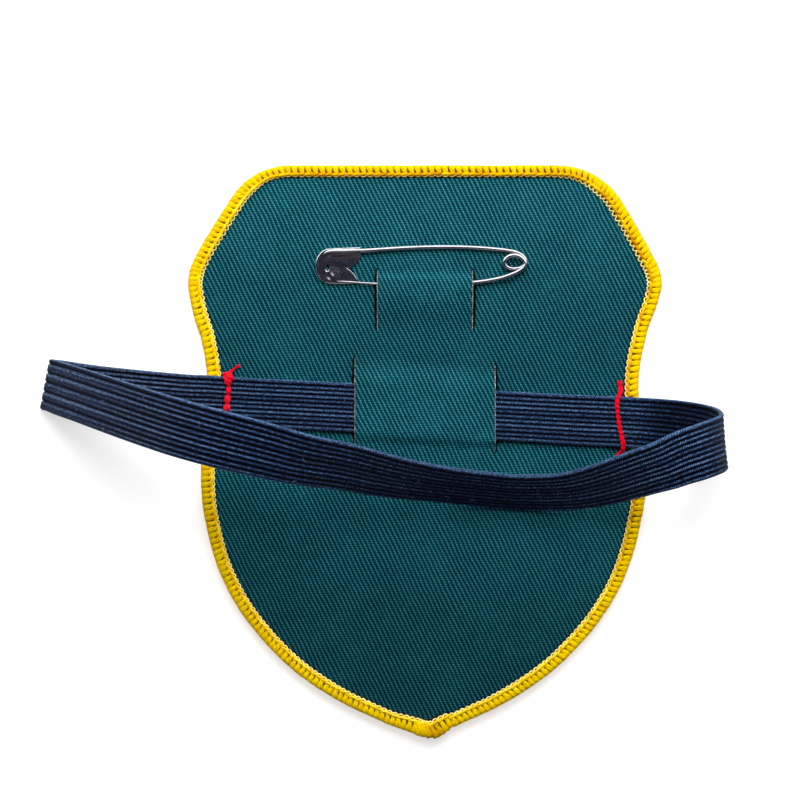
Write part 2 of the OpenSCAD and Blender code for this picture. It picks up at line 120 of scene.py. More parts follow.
# Thread tacks: across, up, height and size of each knot or neck, from the loose tail down
TACK_TOP = ON_BORDER + 1.0
TACK_LEFT = [
    (-36.85, 16.75, 2.7, 0.75), (-37.4, 16.55, 2.75, 0.42), (-38.0, 16.0, 3.2, 0.42),
    (-38.6, 15.4, 3.9, 0.8), (-38.95, 14.6, 4.4, 1.75), (-38.95, 13.8, 4.4, 1.5),
    (-38.85, 13.1, 4.3, 0.95), (-38.85, 12.6, 4.2, 0.6), (-38.9, 11.75, 4.3, 1.05),
    (-38.95, 10.95, 4.2, 0.6), (-39.1, 10.0, 4.35, 1.3), (-39.15, 9.2, 4.2, 0.7), (-39.2, 8.4, 4.35, 1.3),
    (-39.1, 7.5, 4.2, 0.7), (-39.2, 5.3, TACK_TOP, 0.9), (-39.2, 4.2, 3.9, 0.6),
]
TACK_SPUR = [
    (-39.9, 15.2, 4.3, 0.5), (-39.3, 14.8, 4.6, 0.9), (-38.4, 14.2, 4.5, 0.8), (-37.7, 13.95, 4.2, 0.2),
]
TACK_RIGHT = [
    (39.0, 13.7, 2.7, 0.9), (39.3, 12.1, 2.9, 0.85), (38.8, 10.8, 4.0, 0.8), (38.3, 8.9, TACK_TOP, 0.85),
    (38.5, 7.2, TACK_TOP, 0.75), (38.7, 5.6, TACK_TOP, 0.8), (39.0, 4.0, TACK_TOP, 0.8),
    (39.3, 2.4, TACK_TOP, 0.85), (39.6, 0.9, TACK_TOP, 0.85), (39.5, -0.2, 3.7, 0.8),
    (39.1, -0.9, 2.8, 0.7), (38.3, -1.2, 2.6, 0.5),
]

# How far the edge of the patch runs outside the even outline: direction in degrees, millimetres
EDGE_DRIFT = np.array([
    (-172, 0.4), (-165, 0.5), (-157, 0.45), (-150, 0.48), (-142, 0.38), (-133, 0.33), (-124, 0.4),
    (-113, 0.33), (-104, 0.38), (-97, 0.6), (-94, 0.25), (-92, -0.2), (-90.6, 0.05), (-89.6, 0.2),
    (-88.3, 0.75), (-87.1, 0.95), (-86, 1.0), (-85.3, 0.6), (-84.9, 0.3), (-84.2, 0.45), (-83.5, 0.55),
    (-80, 0.4), (-76, 0.45), (-67, 0.22), (-52, 0.15), (-43, 0.06), (-35, 0.18), (-19, 0.22), (-10, 0.32),
    (10, 0.22), (21, 0.15), (25, 0.02), (28, -0.1), (30, 0.1), (32, 0.45), (34, 0.45), (37, 0.22),
    (39.4, 0.24), (42.4, 0.48), (47, 0.62), (52, 0.5), (56, 0.2), (60, 0.1), (90, 0.1), (120, 0.05),
    (128, -0.1), (131, 0.12), (136, 0.3), (138, 0.28), (141, 0.05), (143.5, -0.08), (146, 0.2),
    (149, 0.45), (151, 0.35), (153, 0.12), (156, 0.35), (159, 0.52), (175, 0.46),
])

# Section of the border's core: depth from the edge, height, tint. The tint is painted shade: low in the holes
# between the wraps and near black along the inner edge, beside the cloth
BORDER_CORE = np.array([
    (0.42, 0.5, 0.6), (0.36, 1.3, 0.6), (0.5, 2.0, 0.6), (0.9, 2.2, 0.5), (1.6, 2.2, 0.42),
    (2.2, 2.25, 0.5), (2.52, 2.34, 0.72), (2.64, 2.26, 0.2), (2.86, 2.2, 0.0), (3.0, 2.1, 0.0),
    (1.4, 1.95, 0.4), (1.3, 1.2, 0.4), (1.4, 0.45, 0.4), (2.5, 0.42, 0.5), (2.5, 0.16, 0.5),
    (1.0, 0.14, 0.5),
])
# Path of one wrap of the border: depth from the edge, height, half width, half thickness, tint; the tint is
# lower round the outer edge and underneath, as painted shade
WRAP_PATH = np.array([
    (2.2, 2.36, 0.5, 0.12, 0.58), (1.85, 2.45, 0.46, 0.15, 0.68), (1.5, 2.5, 0.48, 0.15, 0.72),
    (1.15, 2.5, 0.61, 0.14, 0.74), (0.7, 2.38, 0.68, 0.12, 0.74), (0.33, 2.03, 0.7, 0.12, 0.66),
    (0.18, 1.15, 0.7, 0.14, 0.56), (0.5, 0.4, 0.66, 0.16, 0.5), (2.2, 0.22, 0.5, 0.14, 0.5),
])
# Section of a wrap, flat on top: across and up, as shares of its half width and half thickness
WRAP_SECTION = np.array([(-1, 0), (-0.76, 1), (0.76, 1), (1, 0), (0.6, -0.8), (-0.6, -0.8)])

# Rim of the pin's clasp, seen from above: from the end of the bead to the left, round the blunt end, along
# the lower edge to the mouth, then into the notch and out again
CLASP_RIM = np.array([
    (-12.69, 40.34), (-15.76, 40.22), (-19.47, 40.04), (-20.45, 39.50), (-21.15, 38.60), (-21.54, 37.61),
    (-21.68, 36.41), (-21.62, 35.61), (-21.44, 34.82), (-21.07, 34.10), (-20.55, 33.62), (-19.85, 33.24),
    (-18.95, 33.06), (-17.36, 32.98), (-15.36, 33.04), (-13.25, 33.18), (-13.31, 33.52), (-13.47, 34.06),
    (-13.87, 34.72), (-14.21, 35.18), (-14.67, 35.61), (-15.46, 36.21), (-14.87, 36.33), (-14.37, 36.61),
    (-13.85, 37.09), (-13.17, 37.81), (-12.69, 38.60),
])
ROLLED_RIM, MOUTH_RIM = CLASP_RIM[6:16], CLASP_RIM[21:14:-1]
# Middle line of the clasp's rolled bead: across, up, height, radius
CLASP_BEAD = [
    (-12.69, 39.73, 2.92, 0.62), (-15.8, 39.62, 2.94, 0.61), (-19.2, 39.44, 2.94, 0.58),
    (-20.1, 38.95, 2.92, 0.52), (-20.8, 38.2, 2.86, 0.46), (-21.2, 37.3, 2.78, 0.38),
    (-21.42, 36.4, 2.7, 0.28), (-21.45, 35.6, 2.6, 0.14),
]
# Small oval slot in the clasp: middle across and up, half width, half height
CLASP_SLOT = (-19.3, 36.3, 0.34, 0.72)
COVER_TOP, CLASP_BACK_TOP = 2.98, 2.3

Edge = namedtuple("Edge", "place normal onward way swell width")


def unit(v):
    """Each vector of an array divided by its own length."""
    return v / np.maximum(np.linalg.norm(v, axis=-1, keepdims=True), 1e-12)


def ease(x, low, high):
    """Smooth step: 0 below low, 1 above high and 3 t squared minus 2 t cubed between them."""
    t = np.clip((x - low) / (high - low), 0, 1)
    return t * t * (3 - 2 * t)


def bank(x, foot, top, edge, end):
    """A smooth step up from 0 at foot to 1 at top, times one down from 1 at edge to 0 at end."""
    return ease(x, foot, top) * (1 - ease(x, edge, end))


def bell(x, middle, width):
    """Bell curve: e to the power of minus the square of the distance from the middle in widths."""
    return np.exp(-(((x - middle) / width) ** 2))


def ripple(x, y, seed, waves=5, length=18.0):
    """Gentle unevenness between -1 and 1: a mean of plane sine waves of random direction, length and
    phase."""
    rng = np.random.default_rng(seed)
    turn, phase = rng.uniform(0, math.tau, (2, waves))
    size = length * rng.uniform(0.6, 1.6, waves)
    place = np.multiply.outer(x, np.cos(turn)) + np.multiply.outer(y, np.sin(turn))
    return np.sin(place * math.tau / size + phase).mean(-1)


def looped(rows):
    """The rows of a closed line, with the first one again at the end."""
    return np.concatenate([rows, rows[:1]])


def way_along(path):
    """The way along each line of an array (..., rows, parts): a running sum of the steps between its rows."""
    step = np.linalg.norm(np.diff(path, axis=-2), axis=-1)
    return np.concatenate([np.zeros((*step.shape[:-1], 1)), np.cumsum(step, -1)], -1)


def read_off(at, way, rows):
    """The columns of an array of rows, read off in straight lines at given ways along it."""
    return np.stack([np.interp(at, way, column) for column in rows.T], 1)


def smooth(table, step, closed, least=1):
    """Smooth curve through a table's rows: a cubic between each two, whose slope at a row is the mean of the
    slopes of the two chords that meet there, cut into pieces no longer than step along the chord."""
    table = np.asarray(table, float)
    after = np.roll(table, -1, 0)
    chord = np.linalg.norm((after - table)[:, :3], axis=1)
    secant = (after - table) / chord[:, None]
    slope = (secant + np.roll(secant, 1, 0)) / 2
    pieces = np.maximum(least, np.ceil(chord / step)).astype(int)
    if not closed:
        slope[0], slope[-1], pieces[-1] = secant[0], secant[-2], 0
    row = np.repeat(np.arange(len(table)), pieces)
    t = (np.arange(pieces.sum()) - np.repeat(np.cumsum(pieces) - pieces, pieces)) / np.repeat(pieces, pieces)
    t, run = t[:, None], chord[row, None]
    curve = (table[row] * (2 * t**3 - 3 * t**2 + 1) + slope[row] * run * (t**3 - 2 * t**2 + t)
             + after[row] * (3 * t**2 - 2 * t**3) + np.roll(slope, -1, 0)[row] * run * (t**3 - t**2))
    return curve if closed else np.vstack([curve, table[-1]])


def shield(count):
    """The shield's outline as count places evenly round it and their outward directions, and its length:
    straight sides between corners, each corner an arc that is tangent to both sides."""
    corners = np.vstack([HALF_OUTLINE, HALF_OUTLINE[:0:-1] * (-1, 1, 1)])
    here, radius = corners[:, :2], corners[:, 2]
    inward, onward = unit(here - np.roll(here, 1, 0)), unit(np.roll(here, -1, 0) - here)
    turn = np.arctan2(inward[:, 0] * onward[:, 1] - inward[:, 1] * onward[:, 0], (inward * onward).sum(1))
    side = np.sign(turn)
    across = np.stack([-inward[:, 1], inward[:, 0]], 1)
    centre = here - inward * (radius * np.tan(abs(turn) / 2))[:, None] + (side * radius)[:, None] * across
    first = np.arctan2(-side * inward[:, 0], side * inward[:, 1])
    angle = first[:, None] + turn[:, None] * np.linspace(0, 1, 33)
    spoke = np.stack([np.cos(angle), np.sin(angle)], -1)
    place = looped((centre[:, None] + radius[:, None, None] * spoke).reshape(-1, 2))
    normal = looped((side[:, None, None] * spoke).reshape(-1, 2))
    way = way_along(place)
    at = np.linspace(0, way[-1], count, endpoint=False)
    return read_off(at, way, place), unit(read_off(at, way, normal)), way[-1]


def inside(x, y, outline):
    """Whether each place lies in a closed outline: a ray to the right of it crosses the outline an odd
    number of times."""
    a, b = outline, np.roll(outline, -1, 0)
    x, y = x[..., None], y[..., None]
    spans = (a[:, 1] > y) != (b[:, 1] > y)
    rise = np.where(b[:, 1] == a[:, 1], 1e-9, b[:, 1] - a[:, 1])
    meets = a[:, 0] + (y - a[:, 1]) * (b[:, 0] - a[:, 0]) / rise
    return (spans & (x < meets)).sum(-1) % 2 == 1


def nearest(x, y, points):
    """For each place, its nearest point of an array of points, and the distance between them."""
    parts = np.array_split(np.stack([x, y], 1), max(1, len(x) // 4000))
    gaps = [((p[:, None] - points) ** 2).sum(-1) for p in parts]
    found = np.concatenate([g.argmin(1) for g in gaps])
    return points[found], np.sqrt(np.concatenate([g.min(1) for g in gaps]))


def along_line(points, step):
    """Places along the straight pieces of a line, at most step apart."""
    way = way_along(points)
    return read_off(np.linspace(0, way[-1], int(way[-1] / step) + 2), way, points)


# Meshes

def add_object(name, data):
    """A new object in the scene, at the origin, unturned and unscaled."""
    made = bpy.data.objects.new(name, data)
    bpy.context.scene.collection.objects.link(made)
    return made


def ring_quads(rows, sides, closed, count=1):
    """Quads over count separate grids of rows by sides places, whose sides close into a ring, and whose rows
    close too if closed is true."""
    i, j = (g.ravel() for g in np.meshgrid(np.arange(rows - (not closed)), np.arange(sides), indexing="ij"))
    a, b = (i + 1) % rows, (j + 1) % sides
    quads = np.stack([i * sides + j, i * sides + b, a * sides + b, a * sides + j], 1)
    return (np.arange(count)[:, None, None] * rows * sides + quads).reshape(-1, 4)


def end_caps(rows, sides, count):
    """The two end faces of each of count tubes of rows by sides places."""
    start = np.arange(count)[:, None] * rows * sides
    return np.vstack([start + np.arange(sides)[::-1], start + (rows - 1) * sides + np.arange(sides)])


def lay_map(way, girth):
    """The map on grids of quads: at each corner, the way along the grid and the way round it."""
    u = np.stack([way[..., :-1], way[..., :-1], way[..., 1:], way[..., 1:]], -1)[..., None, :]
    v = np.stack([girth[:-1], girth[1:], girth[1:], girth[:-1]], -1)
    return np.stack(np.broadcast_arrays(u, v), -1)


def build(name, places, quads, caps=None, uv=None, tint=None):
    """A smooth mesh object from an array of places in millimetres and arrays of faces, turned to face
    outwards: its signed volume, a sum over the faces of corner dot corner cross corner, is positive. A mesh
    that is turned over has its map read from the far end."""
    places = np.asarray(places, float).reshape(-1, 3) * MM
    sets = [quads] if caps is None else [quads, caps]
    volume = sum((p[:, :1] * np.cross(p[:, 1:-1], p[:, 2:])).sum() for p in (places[s] for s in sets))
    if volume < 0:
        sets = [s[:, ::-1] for s in sets]
        uv = None if uv is None else uv[:, ::-1]
    corners = np.concatenate([s.ravel() for s in sets])
    sizes = np.concatenate([np.full(len(s), s.shape[1]) for s in sets])
    mesh = bpy.data.meshes.new(name)
    mesh.vertices.add(len(places))
    mesh.vertices.foreach_set("co", places.ravel())
    mesh.loops.add(len(corners))
    mesh.loops.foreach_set("vertex_index", corners.astype(np.int32))
    mesh.polygons.add(len(sizes))
    mesh.polygons.foreach_set("loop_start", (np.cumsum(sizes) - sizes).astype(np.int32))
    mesh.update(calc_edges=True)
    mesh.polygons.foreach_set("use_smooth", np.ones(len(sizes), bool))
    if uv is not None:
        flat = np.zeros((len(corners), 2))
        flat[: quads.size] = uv.reshape(-1, 2)
        mesh.uv_layers.new(name="along").data.foreach_set("uv", flat.ravel())
    if tint is not None:
        shades = mesh.attributes.new("tint", "FLOAT", "POINT")
        shades.data.foreach_set("value", np.asarray(tint, float).ravel())
    mesh.validate()
    return add_object(name, mesh)


def settle(piece, material, slot, *nodes):
    """Gives a piece its material and its body, and hides the solids that it stands for; its slot is not used.
    """
    piece.data.materials.append(material)
    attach(piece, BODY)
    if nodes:
        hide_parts(*nodes)


def strands(name, rings, path, girth, tint=None):
    """One mesh of separate strands from their rings (strands, rows, sides, 3), each closed by an end face.
    The map on them holds the way along each strand's path and the way round it, in millimetres."""
    count, rows, sides = rings.shape[:3]
    if tint is not None:
        tint = np.broadcast_to(tint, (count, rows, sides))
    quads, caps = ring_quads(rows, sides, False, count), end_caps(rows, sides, count)
    return build(name, rings, quads, caps, lay_map(way_along(path), girth), tint)


def tubes(name, path, radius, sides, flat=1.0, tint=None):
    """Round strands along paths (strands, rows, 3). A ring is its row plus radius times (cos a times the side
    direction plus flat times sin a times the up direction), both of them square to the path."""
    path = path.reshape(-1, *path.shape[-2:])
    ahead = np.concatenate([path[:, 1:], path[:, -1:]], 1)
    along = unit(ahead - np.concatenate([path[:, :1], path[:, :-1]], 1))
    side = unit(np.cross(along, (0, 0, 1.0)))
    up = np.cross(side, along)
    a = np.arange(sides) * math.tau / sides
    ring = np.cos(a)[:, None] * side[:, :, None] + flat * np.sin(a)[:, None] * up[:, :, None]
    rings = path[:, :, None] + np.broadcast_to(radius, path.shape[:2])[..., None, None] * ring
    girth = np.arange(sides + 1) * (float(np.mean(radius)) * math.tau) / sides
    return strands(name, rings, path, girth, None if tint is None else np.asarray(tint)[..., None])


def grid(xs, ys):
    """Places of a grid of columns and rows, and their numbers, in columns by rows."""
    x, y = (g.ravel() for g in np.meshgrid(xs, ys, indexing="ij"))
    return x, y, np.arange(len(x)).reshape(len(xs), len(ys))


def cells(left, right):
    """Quads of a grid, from the numbers of its places as left and as right corners."""
    return np.stack([left[:-1, :-1], right[1:, :-1], right[1:, 1:], left[:-1, 1:]], -1).reshape(-1, 4)


def trimmed(x, y, quads, outline):
    """The quads whose middles lie inside an outline."""
    return quads[inside(x[quads].mean(1), y[quads].mean(1), outline)]


def open_edges(quads):
    """The edges that only one of the quads has, in its direction."""
    edges = np.stack([quads, np.roll(quads, -1, 1)], -1).reshape(-1, 2)
    key = np.sort(edges, 1) @ (quads.max() + 1, 1)
    _, first, times = np.unique(key, return_index=True, return_counts=True)
    return edges[first[times == 1]]


def slab(name, x, y, top, bottom, quads):
    """A closed sheet between two heights over the same cells: the top, the underside turned over, and a wall
    along each edge that only one cell has."""
    used, number = np.unique(quads, return_inverse=True)
    quads, n = number.reshape(quads.shape), len(used)
    x, y, top, bottom = (np.broadcast_to(v, x.shape)[used] for v in (x, y, top, bottom))
    rim = open_edges(quads)
    walls = np.stack([rim[:, 1], rim[:, 0], rim[:, 0] + n, rim[:, 1] + n], 1)
    places = np.concatenate([np.stack([x, y, top], 1), np.stack([x, y, bottom], 1)])
    return build(name, places, np.concatenate([quads, quads[:, ::-1] + n, walls]))


# Materials

class Value:
    """An output in a node tree. Plus, minus, times and math add a Math node to it and give that one's
    output, and feed links it to a socket."""

    def __init__(self, tree, socket):
        self.tree, self.socket = tree, socket

    def math(self, operation, *others):
        return node(self.tree, "ShaderNodeMath", (self, *others), operation=operation)

    def __add__(self, other):
        return self.math("ADD", other)

    def __sub__(self, other):
        return self.math("SUBTRACT", other)

    def __mul__(self, other):
        return self.math("MULTIPLY", other)

    def feed(self, socket):
        self.tree.links.new(self.socket, socket)


def node(tree, kind, values=(), out=0, **settings):
    """Adds a node with its settings. Values are numbers, colours or other nodes' outputs, in the order of its
    inputs or by their names, and its output number out comes back."""
    made = tree.nodes.new(kind)
    for name, value in settings.items():
        setattr(made, name, value)
    for key, value in values.items() if isinstance(values, dict) else enumerate(values):
        if isinstance(value, Value):
            value.feed(made.inputs[key])
        else:
            made.inputs[key].default_value = value
    return Value(tree, made.outputs[out])


def noise(where, scale, detail=2.0, rough=0.5):
    """Noise from 0 to 1 over places in millimetres, with scale waves to a millimetre."""
    values = {"Vector": where, "Scale": scale, "Detail": detail, "Roughness": rough}
    return node(where.tree, "ShaderNodeTexNoise", values)


def between(value, low, high, first, last):
    """A value's way from low to high, turned into a way from first to last, and kept there."""
    return node(value.tree, "ShaderNodeMapRange", (value, low, high, first, last))


def ramp(value, *stops):
    """A colour ramp from pairs of position and colour."""
    colour = node(value.tree, "ShaderNodeValToRGB", (value,))
    marks = colour.socket.node.color_ramp.elements
    while len(marks) < len(stops):
        marks.new(0.5)
    for mark, (place, shade) in zip(marks, stops):
        mark.position, mark.color = place, (*shade, 1)
    return colour


def mix(share, a, b, kind="MIX"):
    """The first colour toward the second by a share, or their product."""
    return node(a.tree, "ShaderNodeMixRGB", (share, a, b), blend_type=kind)


def product(colour, *shades):
    """A colour times each of its shades."""
    for shade in shades:
        colour = mix(1.0, colour, shade, "MULTIPLY")
    return colour


def linear(red, green, blue):
    """Linear colour of a screen colour from 0 to 255."""
    c = np.array([red, green, blue]) / 255
    return tuple(float(v) for v in np.where(c <= 0.04045, c / 12.92, ((c + 0.055) / 1.055) ** 2.4))


def parts(vector):
    """The three parts of a vector."""
    split = node(vector.tree, "ShaderNodeSeparateXYZ", (vector,)).socket.node
    return [Value(vector.tree, part) for part in split.outputs]


def in_mm(tree):
    """The object's own coordinates in millimetres, and their three parts."""
    source = node(tree, "ShaderNodeTexCoord", out=3)
    place = node(tree, "ShaderNodeVectorMath", {0: source, "Scale": 1 / MM}, operation="SCALE")
    return place, *parts(place)


def finish(name, **sockets):
    """A new material, its node tree and its shader, with constant values set on the shader's own sockets."""
    material = bpy.data.materials.new(name)
    material.use_nodes = True
    shader = material.node_tree.nodes["Principled BSDF"]
    for socket, value in sockets.items():
        shader.inputs[socket.replace("_", " ")].default_value = value
    return material, material.node_tree, shader


def surface(shader, colour, height, strength, distance):
    """Gives a shader its colour and, as relief, a height in millimetres."""
    colour.feed(shader.inputs["Base Color"])
    values = {"Height": height, "Strength": strength, "Distance": distance * MM}
    node(height.tree, "ShaderNodeBump", values).feed(shader.inputs["Normal"])


def twill(settings):
    """Steep twill: wales lean to the left of the vertical, crossed by nearly level picks, with a dark pit
    wherever the gap between two wales meets the gap between two picks. Over it lie painted light and shade:
    it is painted lighter toward the shield's top, under the free strap, on the raised strips and on the lower
    slope of the wide strip, and painted darker toward its tip. Its inner side, at the level of the front
    cloth's top, is painted almost black, as painted shade inside the slits."""
    material, tree, shader = finish(
        "twill", Roughness=0.85, Sheen_Weight=0.04, Sheen_Roughness=0.5, Sheen_Tint=(0.3, 0.8, 0.85, 1),
        Specular_IOR_Level=0.1)
    place, x, y, z = in_mm(tree)
    wander = (noise(place, 0.12, 2) - 0.5) * 0.9
    wobble = (noise(place, 2.4, 1) - 0.5) * 0.2
    across = x + y * math.tan(settings.wale_lean) + (wander + wobble)
    turns = across * (math.tau / (settings.wale_pitch / MM))
    wale = (turns.math("COSINE") * 0.5 + 0.5).math("POWER", 1.3)
    up = x * -0.027 + y + (noise(place, 1.6, 1) - 0.5) * 0.2
    picks = up * (math.tau / (settings.pick_pitch / MM))
    pick = picks.math("COSINE") * 0.5 + 0.5
    plain = between(noise(place, 0.16, 2), 0.42, 0.68, 0.44, 0.62)
    ridge = wale * (pick * 0.24 + 0.76)
    float_pick = (wale * -1.0 + 1.0) * (pick * plain)
    knots = (turns * 2.0 - picks).math("COSINE")
    height = knots * 0.07 + (ridge + float_pick) + (noise(place, 3.4, 3, 0.7) - 0.5) * 0.6
    colour = ramp(height, (0.04, linear(0, 23, 36)), (0.3, linear(0, 47, 60)), (0.55, linear(0, 71, 83)),
                  (0.8, linear(11, 103, 114)), (1.0, linear(74, 145, 154)))
    patchy = ramp(noise(place, 0.04, 3, 0.5), (0.3, (0.93, 0.93, 0.94)), (0.7, (1.06, 1.05, 1.04)))
    # Painted light and shade over the height of the patch: darker toward the tip, lighter under the free
    # strap, darker again just above it, and lightest at the top
    falloff_stops = (0.0, 0.58), (0.18, 0.63), (0.32, 0.87), (0.5, 0.88), (0.66, 0.72), (0.8, 0.81), (1.0, 1.0)
    painted_falloff = ramp(between(y, -50.0, 52.0, 0.0, 1.0), *((at, (grey,) * 3) for at, grey in falloff_stops))
    # Painted light on the raised strips and painted shade on the low cloth around them
    raised = between(z, BACK_TOP - 0.1, BACK_TOP + 1.0, 0.95, 1.14)
    # Painted light on the lower slope of the wide strip, which lifts the shade that falls on it
    middle, up, slope, half_gap, _ = BAND_STRIP
    away = x * math.tan(math.radians(-slope)) + (y - (up - 7.4))
    slope_painted_light = (away * away * -0.5 + 1.0).math("MAXIMUM", 0.0) * x.math("COMPARE", middle, half_gap)
    # Painted shade: the front cloth's top, seen only through the slits, is made almost black
    slit_painted_shade = z.math("COMPARE", FRONT_TOP, 0.08) * -0.92 + 1.0
    colour = product(colour, patchy, product(painted_falloff, raised, slope_painted_light * 0.45 + 1.0), slit_painted_shade)
    surface(shader, colour, height, 1.0, 0.14)
    return material


def yarn(name, dark, body, light):
    """Spun thread: fine plies that wind round each strand, on its own map, with its tint from dark to light;
    on the border and the tacks the tint also holds painted shade.
    """
    material, tree, shader = finish(name, Roughness=0.7, Specular_IOR_Level=0.03)
    tint = node(tree, "ShaderNodeAttribute", attribute_name="tint", out=2)
    along, across, _ = parts(node(tree, "ShaderNodeTexCoord", out=2))
    ply = (across * 14.0 + along * 3.0).math("SINE") * 0.5 + 0.5
    height = ply * 0.45 + noise(in_mm(tree)[0], 2.6, 3, 0.7) * 0.8
    colour = ramp(tint + (height - 0.62) * 0.35, (0.0, dark), (0.5, body), (1.0, light))
    surface(shader, colour, height, 0.8, 0.09)
    return material


def webbing():
    """Ribbed elastic: painted highlights on the crests and near-black painted shade in the grooves, both from
    the tint, and small twisted beads along each rib from the map. It is greyer toward the left fold."""
    material, tree, shader = finish(
        "ribbed_elastic", Roughness=0.75, Sheen_Weight=0.03, Sheen_Roughness=0.45,
        Sheen_Tint=(0.5, 0.65, 1.0, 1), Specular_IOR_Level=0.08)
    tint = node(tree, "ShaderNodeAttribute", attribute_name="tint", out=2)
    along, across, _ = parts(node(tree, "ShaderNodeTexCoord", out=2))
    place, x, _, _ = in_mm(tree)
    twist = along * 15.0 + across * 9.0 + noise(place, 1.1, 2) * 5.0
    bead = twist.math("SINE") * 0.5 + 0.5
    fibre = noise(node(tree, "ShaderNodeCombineXYZ", (along * 1.3, across * 5.0, 0.0)), 1.0, 3, 0.65)
    rough = fibre + noise(place, 3.2, 2, 0.7)
    value = tint * 0.8 + (bead * 0.16 + (rough - 1.0) * 0.75)
    colour = ramp(value, (0.2, linear(0, 0, 3)), (0.46, linear(2, 7, 22)), (0.72, linear(28, 48, 80)),
                  (1.0, linear(96, 130, 170)))
    greyer = between(x, -64.0, -34.0, 0.85, 1.0)
    colour = node(tree, "ShaderNodeHueSaturation", {"Saturation": greyer, "Color": colour})
    surface(shader, colour, bead * 0.5 + rough, 1.0, 0.1)
    return material


def plated(name, smoothest, roughest):
    """Bright nickel plate with a little unevenness in its polish."""
    material, tree, shader = finish(name, Metallic=1.0)
    place = in_mm(tree)[0]
    blotch = noise(place, 0.8, 2)
    between(blotch, 0.3, 0.7, smoothest, roughest).feed(shader.inputs["Roughness"])
    colour = ramp(blotch, (0.3, linear(206, 206, 212)), (0.7, linear(228, 224, 222)))
    surface(shader, colour, noise(place, 0.9, 1), 0.1, 0.02)
    return material


# Settings

class PatchStage(PropertyGroup):
    """The floor, the lights and the camera."""
    camera_height: FloatProperty(
        name="Camera height", description="Height of the camera over the floor",
        default=0.3, min=0.2, max=1, unit="LENGTH")
    camera_angle: FloatProperty(
        name="Camera angle", description="Field of view of the camera",
        default=math.radians(30.1), min=0.1, max=1.5, subtype="ANGLE")
    key_power: FloatProperty(
        name="Key power", description="Power of the large light on the far side, in watts",
        default=1.15, min=0, max=50)
    floor_colour: FloatVectorProperty(
        name="Floor", description="Colour of the floor",
        default=(0.6, 0.6, 0.6), size=3, min=0, max=1, subtype="COLOR")


class PatchCloth(PropertyGroup):
    """The twill of the two cloths."""
    wale_pitch: FloatProperty(
        name="Wale pitch", description="Distance between two wales, level across the cloth",
        default=0.89 * MM, min=0.4 * MM, max=2 * MM, precision=5, unit="LENGTH")
    pick_pitch: FloatProperty(
        name="Pick pitch", description="Distance between two weft picks",
        default=0.46 * MM, min=0.2 * MM, max=1 * MM, precision=5, unit="LENGTH")
    wale_lean: FloatProperty(
        name="Wale lean", description="Lean of the wales to the left of the vertical",
        default=math.radians(26), min=0, max=math.radians(60), subtype="ANGLE")
    thickness: FloatProperty(
        name="Cloth thickness", description="Thickness of the backing cloth",
        default=0.55 * MM, min=0.3 * MM, max=0.9 * MM, precision=5, unit="LENGTH")


class PatchBorder(PropertyGroup):
    """The overlocked border."""
    stitches: IntProperty(
        name="Stitches", description="Number of overlock stitches round the patch",
        default=290, min=200, max=400)
    slant: FloatProperty(
        name="Slant", description="Slant of the wraps from square to the edge",
        default=math.radians(12), min=0, max=math.radians(30), subtype="ANGLE")
    yarn_colour: FloatVectorProperty(
        name="Yarn", description="Colour of the border yarn",
        default=linear(228, 176, 0), size=3, min=0, max=1, subtype="COLOR")


class PatchElastic(PropertyGroup):
    """The ribbed elastic."""
    ribs: IntProperty(name="Ribs", description="Number of ribs side by side", default=11, min=5, max=15)
    thickness: FloatProperty(
        name="Thickness", description="Thickness of the elastic over its ribs",
        default=1.1 * MM, min=0.6 * MM, max=1.4 * MM, precision=5, unit="LENGTH")
    groove: FloatProperty(
        name="Groove", description="Depth of the grooves between two ribs",
        default=0.3 * MM, min=0.05 * MM, max=0.4 * MM, precision=5, unit="LENGTH")


class PatchPin(PropertyGroup):
    """The safety pin."""
    wire: FloatProperty(
        name="Wire", description="Diameter of the pin's wire",
        default=0.8 * MM, min=0.5 * MM, max=1 * MM, precision=5, unit="LENGTH")
    sheet: FloatProperty(
        name="Sheet", description="Thickness of the clasp's sheet",
        default=0.2 * MM, min=0.1 * MM, max=0.3 * MM, precision=5, unit="LENGTH")


# Cloth

def strip_way(strip, x, y, side):
    """How far up a strip of cloth each place lies from the strip's middle, and how far beyond the strip's
    slits. side is -1 on a place that belongs to the cloth on its left, 1 on its right and 0 elsewhere."""
    middle, up, slope, half_gap, _ = strip
    return y - up - (x - middle) * math.tan(math.radians(slope)), abs(x + 0.01 * side - middle) - half_gap


def cloth_top(x, y, side):
    """Height of the backing cloth's top: the flat level, less a slow unevenness, plus the two strips, each a
    product of two smooth steps up the patch, less the dip of the slits' outer lips under the elastic."""
    v, beyond = strip_way(BAND_STRIP, x, y, side)
    p, outside = strip_way(PIN_STRIP, x, y, side)
    level = BACK_TOP - 0.05 * (1 + ripple(x, y, 3, 6, 26.0))
    wide = bank(v, -8.6, -6.0, 3.7, 8.6) * (beyond < 0) * (1.43 + 0.05 * np.sin(x * 0.9 + y * 0.25))
    narrow = bank(p, -5.9, 2.6, 4.1, 5.9) * (outside < 0) * 1.82
    lip = (beyond > 0) * (1 - ease(beyond, 0, 1.6)) * bank(v, -8.6, -6.4, 4.2, 6.5)
    return level + wide + narrow - 0.5 * lip


def slit_lines():
    """Column, lowest and highest place of each of the four slits, and its side of the strip."""
    made = []
    for middle, up, slope, half_gap, half_slit in (BAND_STRIP, PIN_STRIP):
        for side in (-1, 1):
            y = up + side * half_gap * math.tan(math.radians(slope))
            made.append((middle + side * half_gap, y - half_slit, y + half_slit, side))
    return made


